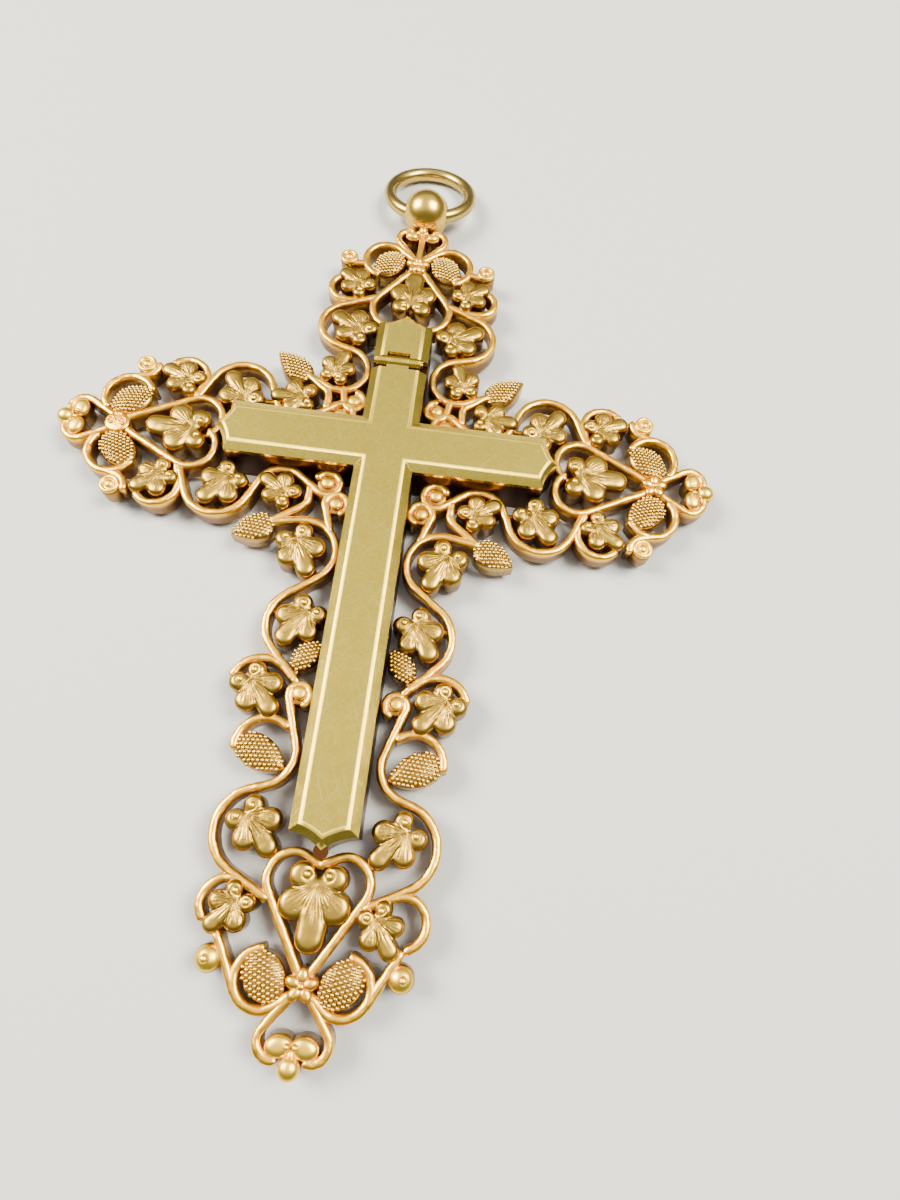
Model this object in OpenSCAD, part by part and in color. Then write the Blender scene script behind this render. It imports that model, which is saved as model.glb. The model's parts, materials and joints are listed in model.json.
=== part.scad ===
// Pectoral cross: a hinged cross-shaped case in a pierced, cast border of vine scrolls, with a
// hollow ball soldered on top and a hanging ring through it.
// It lies on its back. The origin is the middle of the crossing on the back of the case.
// X runs along the arms, Y up the stem to the ring, and Z out of the face.

/* [Case] */
// Height of the lid's face above the back
face_z = 6.62; // [6.5:0.02:6.8]
// Height of the seam between the case and the lid
seam_z = 5.4; // [5.3:0.02:5.5]
// Width of each bar across its walls
case_w = 7.3; // [7.1:0.05:7.4]
// Width of the flat face between its bevels
flat_w = 5; // [4.7:0.05:5.2]
// Drop of a bevel from the face to the wall
bevel_drop = 0.65; // [0.5:0.05:0.8]
// From the crossing to the side corners of an arm's end
arm_reach = 20.15; // [19.9:0.05:20.3]
// From the crossing to the side corners of the foot's end
foot_reach = 47.45; // [47.2:0.05:47.6]
// From the crossing to the side corners of the top end
top_reach = 18.95; // [18.8:0.05:19.1]
// How far a pointed end runs past its side corners
end_point = 1.65; // [1.4:0.05:1.8]
// Radius of the two hollows that shape a pointed end
end_hollow_r = 6.5; // [6:0.1:8]
// Width of the bevel along the pointed ends of the arms and the top
end_bevel = 0.7; // [0.5:0.05:0.8]
// Width of the bevel along the pointed end of the foot
foot_bevel = 1.05; // [0.9:0.05:1.1]
// Thickness of the case's walls and floor
wall = 0.6; // [0.5:0.05:0.7]
// Gap between the lid and the case
lid_gap = 0.03; // [0.02:0.01:0.05]

/* [Hinge] */
// Distance of the hinge from the crossing
hinge_y = 12.95; // [12.9:0.05:13]
// Height of the hinge above the back
hinge_z = 5.6; // [5.55:0.05:5.65]
// Radius of the knuckles
knuckle_r = 0.8; // [0.75:0.01:0.82]
// Radius of the pin
pin_r = 0.35; // [0.3:0.01:0.4]
// Clearance round the pin in the lid's knuckle
pin_clearance = 0.03; // [0.02:0.01:0.05]
// Left and right ends of the lid's knuckle
mid_knuckle = [-1.75, 1.2]; // [-2:0.05:2]
// Left and right ends of the hinge
hinge_ends = [-3.2, 2.7]; // [-3.4:0.05:3.4]
// Upper edge of the lid
lid_edge_y = 11.3; // [11.2:0.05:11.4]
// Lower edge of the fixed top piece
cap_edge_y = 13.1; // [13:0.05:13.2]

/* [Border] */
// Height of the border's back above the back of the case
border_z = 1.2; // [1:0.1:1.4]
// Height of the top of the scroll wires
wire_z = 3.6; // [3.4:0.1:3.8]
// Width of the scroll wires
wire_w = 0.8; // [0.7:0.02:0.9]
// Height of the leaves' rims
leaf_rim_z = 3.95; // [3.8:0.05:4]
// Height of the leaves' tops
leaf_z = 4.3; // [4.2:0.05:4.4]
// Height of the grape clusters
grape_z = 4.1; // [4:0.05:4.2]
// Height of the buttons, buds and rosettes
button_z = 4.2; // [4.1:0.05:4.3]
// Gap between the border and the case
border_gap = 0.05; // [0.04:0.01:0.1]

/* [Ball and ring] */
// Distance of the ball from the crossing
ball_y = 42.6; // [42.5:0.05:42.8]
// Height of the ball's middle
ball_z = 3.45; // [3.42:0.01:3.5]
// Radius of the ball
ball_r = 3.4; // [3.35:0.01:3.4]
// Thickness of the ball's shell
ball_shell = 0.5; // [0.45:0.05:0.6]
// Radius of the ball's side holes
ball_hole_r = 1.28; // [1.26:0.01:1.32]
// Mean radius of the ring
ring_r = 6.2; // [6.15:0.05:6.3]
// Radius of the ring's wire
ring_wire_r = 0.95; // [0.85:0.01:0.97]
// How far the ring's near side lies behind the ball's middle
ring_set = 0.75; // [0.72:0.01:0.78]

/* [Hidden] */
$fn = 48;

// How far a cutting block runs past what it cuts
over = 1;

half_w = case_w / 2;
half_flat = flat_w / 2;
wall_top_z = face_z - bevel_drop;
lid_under_z = seam_z + lid_gap;
arm_tip = arm_reach + end_point;
foot_tip = foot_reach + end_point;
top_tip = top_reach + end_point;
inner_w = case_w - 2 * wall;

// The four pointed ends: [direction, reach of the side corners, width of the bevel]
ends = [[0, arm_reach, end_bevel], [90, top_reach, end_bevel], [180, arm_reach, end_bevel],
    [270, foot_reach, foot_bevel]];
// Length of a straight line across one hollow of a pointed end, and how far the hollow's centre
// lies from that line
end_chord = norm([end_point, half_w]);
hollow_offset = sqrt(end_hollow_r * end_hollow_r - end_chord * end_chord / 4);

// Where the space inside the case gets shallower under the hinge
hinge_step_y = 10.6;
// Gap at each end of the lid's knuckle
knuckle_play = 0.05;
// Radius of the room in the case for the lid's knuckle
knuckle_room = knuckle_r + 0.1;
// Lower end and back of the slot that lets the lid's tongue swing back
slot_z = hinge_z + 0.1;
slot_back_y = hinge_y + knuckle_r + 0.06;
// Height of the tongue between the lid and its knuckle, above the hinge
tongue_rise = 0.4;
// Height of the ledge that the outer knuckles stand on
ledge_z = hinge_z - knuckle_r + 0.15;
// How much thinner the pin is than the holes that hold it, and how far its ends stick out
pin_slack = 0.005;
pin_end = 0.3;

// The thumb tab under the foot of the lid
tab_y = 49.15;
tab_r = 0.8;
tab_h = 0.55;

// The ring's tilt, which brings its far side down to the surface that the cross lies on
rest_gap = 0.03;
ring_far = 2 * ring_r - ring_set;
ring_tilt = asin((ball_z - ring_wire_r - rest_gap) / ring_far);

// Angle between the points of a curved wire
arc_step = 15;
// Difference in height between scrolls that cross
layer_step = 0.03;
// Lower and upper end of the straight neck under the ball
neck_from = 33;
neck_to = 39.5;

gold = [0.78, 0.67, 0.38];
scroll_gold = [0.86, 0.62, 0.30];

// The scrolls of the left half, from the middle outwards. A scroll is [first angle, rows, last
// angle], and a row is [x, y, radius, turn]: the wire goes round that circle anticlockwise (1) or
// clockwise (-1) and runs straight to the next row. A radius of 0 is a plain end, and the angles
// say where on its circle a scroll starts and ends.
arm_heart = [0, [[-34.8, -0.5, 0, 0], [-25.2, -2.1, 3.05, 1]], 50];
arm_bud_loop = [0, [[-35.9, -0.9, 0, 0], [-40, -1.35, 1.75, -1]], 160];
arm_grape_loop = [140, [[-34.9, -4.15, 3.1, 1]], 333];
arm_knob_wire = [0, [[-35, -7.2, 0, 0], [-34.1, -9.5, 2, -1]], 0];
arm_leaf_loop = [221, [[-28.2, -8.2, 2.75, 1], [-26.3, -5.2, 0, 0]], 0];
arm_wave = [0, [[-26.1, -5.2, 0, 0], [-20.65, -7.05, 4.25, 1], [-12.6, -7.2, 3.3, -1],
    [-6.95, -5.35, 1.6, 1]], 150];
arm_cone_wire = [0, [[-9.8, -9.1, 0, 0], [-12.9, -11.4, 0, 0]], 0];
arm_scrolls = [arm_heart, arm_bud_loop, arm_grape_loop, arm_knob_wire, arm_leaf_loop, arm_wave,
    arm_cone_wire];

stem_wave = [0, [[-13, -11.5, 0, 0], [-8.6, -14.95, 4.2, -1], [-6.4, -24.4, 4.7, 1],
    [-6.2, -31.3, 0, 0]], 0];
stem_spiral = [0, [[-5.6, -11.9, 0, 0], [-5.4, -8.1, 1.45, -1]], -60];
stem_leaf_loop = [0, [[-6.6, -30.9, 0, 0], [-10.2, -32.4, 3.5, 1]], 160];
stem_tail = [-60, [[-5.5, -32.8, 1.25, 1], [-8.5, -39.5, 3.75, -1], [-7.4, -47.9, 4.6, 1],
    [-5.2, -54.2, 0, 0]], 0];
stem_grape_loop = [50, [[-8.4, -39, 3.3, 1]], 185];
foot_leaf_loop = [0, [[-7.4, -53.1, 0, 0], [-9.2, -55.2, 2.55, 1]], 215];
foot_heart = [0, [[-0.5, -60.9, 0, 0], [-2.75, -52.1, 2.7, -1], [0, -50.5, 0, 0]], 0];
foot_grape_loop = [0, [[-1, -62.7, 0, 0], [-4.1, -61.6, 2.8, -1]], 100];
foot_bud_loop = [0, [[-0.8, -62.6, 0, 0], [-1.9, -66.75, 1.65, 1]], 280];
foot_knob_wire = [0, [[-9.4, -58, 0, 0], [-6.6, -63, 0, 0]], 0];
top_heart = [0, [[-0.6, 31.6, 0, 0], [-2.2, 24, 3.25, 1]], 265];
top_grape_loop = [0, [[-0.5, 33.2, 0, 0], [-4.7, 32.75, 3, 1]], 250];
top_bud_loop = [0, [[-0.3, 33, 0, 0], [-2, 37.4, 1.5, -1]], 80];
top_leaf_loop = [120, [[-9.7, 26.8, 2.1, 1], [-7.5, 24.6, 0, 0]], 0];
top_wave = [0, [[-5.3, 25.6, 0, 0], [-8.4, 20.2, 3.7, 1], [-7.9, 12.6, 3.45, -1],
    [-12.4, 10.9, 0, 0]], 0];
top_spiral = [0, [[-7.3, 9.4, 0, 0], [-5.55, 7.6, 1.35, 1]], 80];
top_knob_wire = [0, [[-9.8, 31.4, 0, 0], [-7.5, 31.8, 0, 0]], 0];
half_scrolls = [stem_wave, stem_spiral, stem_leaf_loop, stem_tail, stem_grape_loop,
    foot_leaf_loop, foot_heart, foot_grape_loop, foot_bud_loop, foot_knob_wire, top_heart,
    top_grape_loop, top_bud_loop, top_leaf_loop, top_wave, top_spiral, top_knob_wire];

// The leaves of the left half: [x, y, direction of the tip, size].
half_leaves = [
    [-28.05, -7.2, 218, 0.85], [-27.85, 7.55, 153, 0.85], [-19.6, -6.7, 231, 0.95],
    [-20.1, 6.1, 127, 0.95], [-12.3, -7.4, 144, 0.8], [-12.7, 6.95, 181, 0.85],
    [-9.1, -14.3, -63, 1], [-6.75, -23.45, 236, 0.95], [-10.8, -32.2, -47.5, 0.95],
    [-8.05, -46.9, -47, 0.95], [-7.85, 27.3, 140.5, 0.8],
    [-6.85, 19.3, 149, 0.95], [-8.65, 11.9, 75, 0.8]];
// The two leaves beside the foot's heart, which differ: [x, y, direction of the tip, size].
foot_leaves = [[-8.25, -55.1, 230, 0.8], [6.8, -55.5, -60, 0.8]];
// The broad leaves inside the four hearts: [x, y, direction of the tip, size].
heart_leaves = [[-26.2, 0.1, 180, 1], [26.2, 0.1, 0, 1], [0, -53.2, -90, 1.08], [0, 25.6, 90, 0.95]];

// Lobes of a leaf of size 1: [distance along it from the stalk, distance aside, radius].
// They are its body, its tip, its side lobes and its curls.
leaf_lobes = [[0.5, 0, 1.75], [3.4, 0, 1.3], [1.15, 1.8, 1.25], [-1.35, 1.25, 1.12]];
// The same for a broad leaf of size 1.
broad_lobes = [[0.4, 0, 2], [4, 0, 1.4], [1.2, 2, 1.5], [-1.5, 1.6, 1.25]];
// Width of the step between the rim and the top of a leaf, a cluster and a bud
leaf_step = 0.35;
grape_step = 0.3;
bud_step = 0.3;

// The grape clusters of the left half: [x, y, direction, half length, half width, taper].
half_grapes = [
    [-34.2, -3.9, -45, 2.75, 2.1, 0], [-34.3, 3.6, 38, 2.8, 2, 0], [-3.9, -61.4, -50, 2.6, 2.1, 0],
    [-4.15, 32.1, 45, 2.6, 1.95, 0], [-8.5, -39.8, -25, 3.1, 1.85, 0.25],
    [-5.55, -28.05, 50, 2.15, 1.5, 0], [-15.1, -12.7, 205, 2.75, 1.75, 0.35],
    [-14.5, 12.2, 143, 3.1, 1.7, 0.35]];

// The ringed knobs of the left half: [x, y].
half_knobs = [[-33.7, -9.25], [-33.7, 9.25], [-10.05, 32.2], [-9.75, -60.3]];
knob_r = 1.3;
knob_z = 3.5;
knob_button_r = 0.75;
// The buttons in the spirals of the left half: [x, y].
half_buttons = [[-7, -5.2], [-7, 5.2], [-5.4, -8.05], [-5.55, 7.6], [-5.5, -32.6]];
button_r = 0.8;
// The round plate that joins a button to the wire coiled round it
button_seat_r = 1.35;
button_seat_z = 3;
// The buds at the ends of the left half and of the middle line: [x, y, radius].
half_buds = [[-41.9, 0, 1.1], [-40.1, -1.5, 1.15], [-40.1, 1.5, 1.15], [-1.6, -67, 1.1],
    [-1.5, 37.7, 0.9]];
middle_buds = [[0, -68.9, 1.05], [0, 38.9, 0.7]];
// The rosettes: [x, y].
rosettes = [[-35.1, 0], [35.1, 0], [0, 32.1], [0, -61.8]];
petals = 5;
petal_r = 0.6;
petal_ring_r = 0.9;
petal_z = 3.7;
rosette_button_r = 0.55;
// The stalks under the leaves and buds of the left half: [from x, from y, to x, to y].
half_stalks = [[-19.6, -6.7, -16.2, -6.4], [-19.9, 6.1, -16.2, 6.4], [-6.85, 19.3, -8, 16.1],
    [-8.4, -22.9, -11, -23.1], [-5.9, -28.5, -6.9, -30.6], [-26, 0, -23, 0],
    [-40.1, -1.5, -41.9, 0], [-40.1, 1.5, -41.9, 0], [-1.6, -67, 0, -68.9]];
middle_stalk = [0, 29, 0, 31.8];
stalk_w = 0.7;
// Heights of a stalk's back and top
stalk_back_z = 1.35;
stalk_z = 2.7;

// Heading of the straight run from one row of a scroll to the next
function heading(a, b) =
    let (reach = [b.x - a.x, b.y - a.y], lean = b[3] * b[2] - a[3] * a[2])
    assert(abs(lean) < norm(reach), "the circles of two rows of a scroll overlap")
    atan2(reach.y, reach.x) - asin(lean / norm(reach));

// Angle that a row's wire turns through between two angles on its circle
function sweep(turn, from, to) = turn * (((turn * (to - from)) % 360 + 360) % 360);

// Points of a row's wire between two angles on its circle
function row_points(row, from, to) =
    row[2] == 0 ? [[row.x, row.y]] :
    let (turned = sweep(row[3], from, to), steps = ceil(abs(turned) / arc_step))
    [for (i = [0:steps])
        let (angle = from + turned * i / steps)
        [row.x + row[2] * cos(angle), row.y + row[2] * sin(angle)]];

// Points of a whole scroll's wire
function scroll_points(scroll) =
    let (rows = scroll[1], last = len(rows) - 1)
    [for (i = [0:last])
        let (from = i == 0 ? scroll[0] : heading(rows[i - 1], rows[i]) - 90 * rows[i][3],
            to = i == last ? scroll[2] : heading(rows[i], rows[i + 1]) - 90 * rows[i][3])
        each row_points(rows[i], from, to)];

// Direction across a wire at one of its points
function across(points, i) =
    let (before = points[max(i - 1, 0)], after = points[min(i + 1, len(points) - 1)],
        along = after - before)
    [-along.y, along.x] / norm(along);

module both_sides() {
    children();
    mirror([1, 0, 0])
        children();
}

module above_and_below() {
    children();
    mirror([0, 1, 0])
        children();
}

// A flat-sided wire along a scroll. A layer number lowers its top and raises its back a little,
// because scrolls that cross lie at slightly different heights.
module scroll_wire(scroll, layer) {
    points = scroll_points(scroll);
    half = wire_w / 2;
    left = [for (i = [0:len(points) - 1]) points[i] + across(points, i) * half];
    right = [for (i = [len(points) - 1:-1:0]) points[i] - across(points, i) * half];
    translate([0, 0, border_z + layer * layer_step])
        linear_extrude(wire_z - border_z - 2 * layer * layer_step)
            polygon(concat(left, right));
}

module scroll_wires(scrolls) {
    for (i = [0:len(scrolls) - 1])
        scroll_wire(scrolls[i], 1 + i % 4);
}

// A round post from the border's back up to a height
module post(place, radius, top) {
    translate([place.x, place.y, border_z])
        cylinder(r = radius, h = top - border_z);
}

// The lobes of a leaf, drawn smaller all round by inset
module leaf_layer(lobes, inset, top) {
    tip = lobes[1];
    neck = (tip[2] - inset) * 0.8;
    post(lobes[0], lobes[0][2] - inset, top);
    post(tip, tip[2] - inset, top);
    translate([0, -neck, border_z])
        cube([tip.x, 2 * neck, top - border_z]);
    above_and_below()
        for (i = [2, 3])
            post(lobes[i], lobes[i][2] - inset, top);
}

// A leaf with a long tip, two side lobes and two curls, and a raised middle
module leaf(row, lobes) {
    scaled = [for (l = lobes) l * row[3]];
    translate([row.x, row.y])
        rotate(row[2]) {
            leaf_layer(scaled, 0, leaf_rim_z);
            leaf_layer(scaled, leaf_step, leaf_z);
        }
}

// One layer of an oval cluster, pointed at its far end by its taper
module grape_layer(length, width, taper, top) {
    translate([0, 0, border_z])
        linear_extrude(top - border_z)
            polygon([for (angle = [0:arc_step:359])
                [length * cos(angle), width * sin(angle) * (1 - taper * cos(angle))]]);
}

module grape_cluster(row) {
    translate([row.x, row.y])
        rotate(row[2]) {
            grape_layer(row[3], row[4], row[5], grape_z - grape_step);
            grape_layer(row[3] - grape_step, row[4] - grape_step, row[5], grape_z);
        }
}

module knob(place) {
    post(place, knob_r, knob_z);
    post(place, knob_button_r, button_z);
}

module button(place) {
    post(place, button_seat_r, button_seat_z);
    post(place, button_r, button_z);
}

module stalk(row) {
    reach = [row[2] - row.x, row[3] - row.y];
    translate([row.x, row.y, stalk_back_z])
        rotate(atan2(reach.y, reach.x))
            translate([0, -stalk_w / 2, 0])
                cube([norm(reach), stalk_w, stalk_z - stalk_back_z]);
}

module bud(row) {
    post(row, row[2], button_z - bud_step);
    post(row, row[2] - bud_step, button_z);
}

module rosette(place) {
    for (i = [0:petals - 1])
        let (angle = 90 + i * 360 / petals)
            post(place + petal_ring_r * [cos(angle), sin(angle)], petal_r, petal_z);
    post(place, rosette_button_r, button_z);
}

// The scrolls beside the stem and all the ornaments of the left half
module left_half() {
    scroll_wires(half_scrolls);
    for (row = half_leaves)
        leaf(row, leaf_lobes);
    for (row = half_grapes)
        grape_cluster(row);
    for (place = half_knobs)
        knob(place);
    for (place = half_buttons)
        button(place);
    for (row = half_buds)
        bud(row);
    for (row = half_stalks)
        stalk(row);
}

// The ornaments that aren't the same on both sides: the foot's and the hearts' leaves, the end
// buds, the rosettes and the neck
module middle_line() {
    for (row = foot_leaves)
        leaf(row, leaf_lobes);
    for (row = heart_leaves)
        leaf(row, broad_lobes);
    for (row = middle_buds)
        bud(row);
    for (place = rosettes)
        rosette(place);
    stalk(middle_stalk);
    translate([-wire_w / 2, neck_from, border_z])
        cube([wire_w, neck_to - neck_from, wire_z - border_z]);
}

// Puts its children at the middles of the two hollows of a pointed end
module at_end(end) {
    rotate(end[0])
        above_and_below()
            translate([end[1] + end_point / 2, half_w / 2]
                + hollow_offset * [half_w, end_point] / end_chord)
                children();
}

// The room that the border leaves for the case
module case_room() {
    side = half_w + border_gap;
    difference() {
        union() {
            block([-side, -foot_tip - border_gap, 0], [side, top_tip + border_gap, face_z]);
            block([-arm_tip - border_gap, -side, 0], [arm_tip + border_gap, side, face_z]);
        }
        for (end = ends)
            at_end(end)
                translate([0, 0, -over])
                    cylinder(r = end_hollow_r - border_gap, h = face_z + 2 * over);
    }
}

// The hollow ball, turned about the line through its two side holes
module ball() {
    translate([0, ball_y, ball_z])
        rotate([0, 90, 0])
            rotate_extrude()
                difference() {
                    circle(ball_r);
                    circle(ball_r - ball_shell);
                    translate([ball_hole_r - 2 * ball_r, -ball_r - over])
                        square([2 * ball_r, 2 * (ball_r + over)]);
                }
}

module vine_frame() {
    color(scroll_gold)
        union() {
            difference() {
                union() {
                    both_sides() {
                        above_and_below()
                            scroll_wires(arm_scrolls);
                        left_half();
                    }
                    middle_line();
                }
                case_room();
            }
            ball();
        }
}

// Section of a bar: straight walls and a bevel on each side of the flat face
module bar_section(low) {
    polygon([[-half_w, low], [half_w, low], [half_w, wall_top_z], [half_flat, face_z],
        [-half_flat, face_z], [-half_w, wall_top_z]]);
}

module bar(low, from, to) {
    translate([0, to, 0])
        rotate([90, 0, 0])
            linear_extrude(to - from)
                bar_section(low);
}

// The hollow beside a pointed end, wider at the top where the end is bevelled
module end_cutter(bevel) {
    rotate_extrude()
        polygon([[0, -over], [end_hollow_r, -over], [end_hollow_r, wall_top_z],
            [end_hollow_r + 2 * bevel, wall_top_z + 2 * bevel_drop],
            [0, wall_top_z + 2 * bevel_drop]]);
}

// The whole outer form of the case and its lid above a height
module cross_form(low) {
    difference() {
        union() {
            bar(low, -foot_tip, top_tip);
            rotate(90)
                bar(low, -arm_tip, arm_tip);
        }
        for (end = ends)
            at_end(end)
                end_cutter(end[2]);
    }
}

module block(from, to) {
    translate(from)
        cube(to - from);
}

// A cylinder along the hinge's axis
module hinge_rod(radius, from, to) {
    translate([from, hinge_y, hinge_z])
        rotate([0, 90, 0])
            cylinder(r = radius, h = to - from);
}

// The space inside the case: a stem and two arms, and a shallow part under the hinge
module case_space() {
    inner = inner_w / 2;
    block([-inner, -foot_reach + wall, wall], [inner, hinge_step_y, seam_z + over]);
    block([-arm_reach + wall, -inner, wall], [arm_reach - wall, inner, seam_z + over]);
    block([-inner, hinge_step_y - over, wall], [inner, top_reach - wall, seam_z - 2 * knuckle_r]);
}

module case() {
    color(gold)
        difference() {
            union() {
                difference() {
                    cross_form(0);
                    block([-arm_tip - over, -foot_tip - over, seam_z],
                        [arm_tip + over, lid_edge_y + 2 * lid_gap, face_z + over]);
                    block([-half_w - over, lid_edge_y, ledge_z],
                        [half_w + over, cap_edge_y, face_z + over]);
                    case_space();
                }
                hinge_rod(knuckle_r, hinge_ends[0], mid_knuckle[0] - knuckle_play);
                hinge_rod(knuckle_r, mid_knuckle[1] + knuckle_play, hinge_ends[1]);
            }
            hinge_rod(pin_r, -half_w, half_w);
            hinge_rod(knuckle_room, mid_knuckle[0] - knuckle_play, mid_knuckle[1] + knuckle_play);
            block([mid_knuckle[0] - knuckle_play, hinge_y, slot_z],
                [mid_knuckle[1] + knuckle_play, slot_back_y, face_z + over]);
        }
}

module lid() {
    color(gold)
        difference() {
            union() {
                intersection() {
                    cross_form(lid_under_z);
                    block([-arm_tip - over, -foot_tip - over, lid_under_z],
                        [arm_tip + over, lid_edge_y, face_z + over]);
                }
                hinge_rod(knuckle_r, mid_knuckle[0], mid_knuckle[1]);
                block([mid_knuckle[0], lid_edge_y - over, lid_under_z],
                    [mid_knuckle[1], hinge_y, hinge_z + tongue_rise]);
                translate([0, -tab_y, lid_under_z])
                    cylinder(r = tab_r, h = tab_h);
            }
            hinge_rod(pin_r + pin_clearance, -half_w, half_w);
            block([-half_flat, -foot_reach + wall, lid_under_z - over],
                [half_flat, lid_edge_y - wall, face_z - wall]);
            block([-arm_reach + wall, -half_flat, lid_under_z - over],
                [arm_reach - wall, half_flat, face_z - wall]);
        }
}

module hinge_pin() {
    color(gold)
        hinge_rod(pin_r - pin_slack, hinge_ends[0] - pin_end, hinge_ends[1] + pin_end);
}

module hanging_ring() {
    color(gold)
        translate([0, ball_y, ball_z])
            rotate([-ring_tilt, 0, 0])
                translate([0, ring_r - ring_set, 0])
                    rotate_extrude()
                        translate([ring_r, 0])
                            circle(ring_wire_r);
}

vine_frame();
case();
lid();
hinge_pin();
hanging_ring();
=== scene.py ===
"""Pectoral cross: a hinged, cross-shaped case in a pierced border of vine scrolls.

The classes below make and finish the cross's parts. Sizes are in millimetres, in the part's own
frame: the origin is the middle of the crossing on the case's back, X runs along the arms, Y up the
stem to the ring, and Z out of the face. They become metres when a piece is finished.
"""

import json
import logging
import math
import random
from dataclasses import dataclass
from enum import Enum

import bmesh
import bpy
from bmesh.types import BMEdge, BMesh, BMVert
from mathutils import Matrix, Vector, noise

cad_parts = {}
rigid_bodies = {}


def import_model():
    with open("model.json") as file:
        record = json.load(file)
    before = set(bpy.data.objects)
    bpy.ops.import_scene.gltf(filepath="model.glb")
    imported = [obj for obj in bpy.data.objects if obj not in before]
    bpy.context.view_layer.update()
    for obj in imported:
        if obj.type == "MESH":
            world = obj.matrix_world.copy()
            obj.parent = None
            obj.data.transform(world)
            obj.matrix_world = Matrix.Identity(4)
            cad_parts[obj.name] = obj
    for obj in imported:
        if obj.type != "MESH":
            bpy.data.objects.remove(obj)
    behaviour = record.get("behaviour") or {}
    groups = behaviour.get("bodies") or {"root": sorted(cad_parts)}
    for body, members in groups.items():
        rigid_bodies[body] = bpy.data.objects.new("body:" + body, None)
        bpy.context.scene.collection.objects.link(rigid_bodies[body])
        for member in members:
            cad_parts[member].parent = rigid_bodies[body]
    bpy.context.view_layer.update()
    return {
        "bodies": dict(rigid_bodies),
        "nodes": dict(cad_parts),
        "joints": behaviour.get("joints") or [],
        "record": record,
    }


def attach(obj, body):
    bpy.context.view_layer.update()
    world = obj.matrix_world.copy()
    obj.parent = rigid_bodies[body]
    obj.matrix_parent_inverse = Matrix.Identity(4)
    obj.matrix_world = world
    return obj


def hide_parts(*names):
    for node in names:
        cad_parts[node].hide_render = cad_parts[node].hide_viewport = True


LOG = logging.getLogger("pectoral_cross")
MM = 0.001
# Height of the border's back above the back of the case
BACK_Z = 1.2
# A point of a ball of radius 1 that is lower than this belongs to a piece's underside
UNDERSIDE = -1e-4
# Points of a piece that are nearer than this are one point
WELD = 0.0001


class Body(Enum):
    """The bodies of the part that pieces ride on."""

    CROSS = "cross"
    LID = "lid"
    RING = "ring"


class Slot(Enum):
    """The record's material slots."""

    SCROLL = "scroll_gold"
    CASE = "case_gold"
    RING = "ring_gold"


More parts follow.
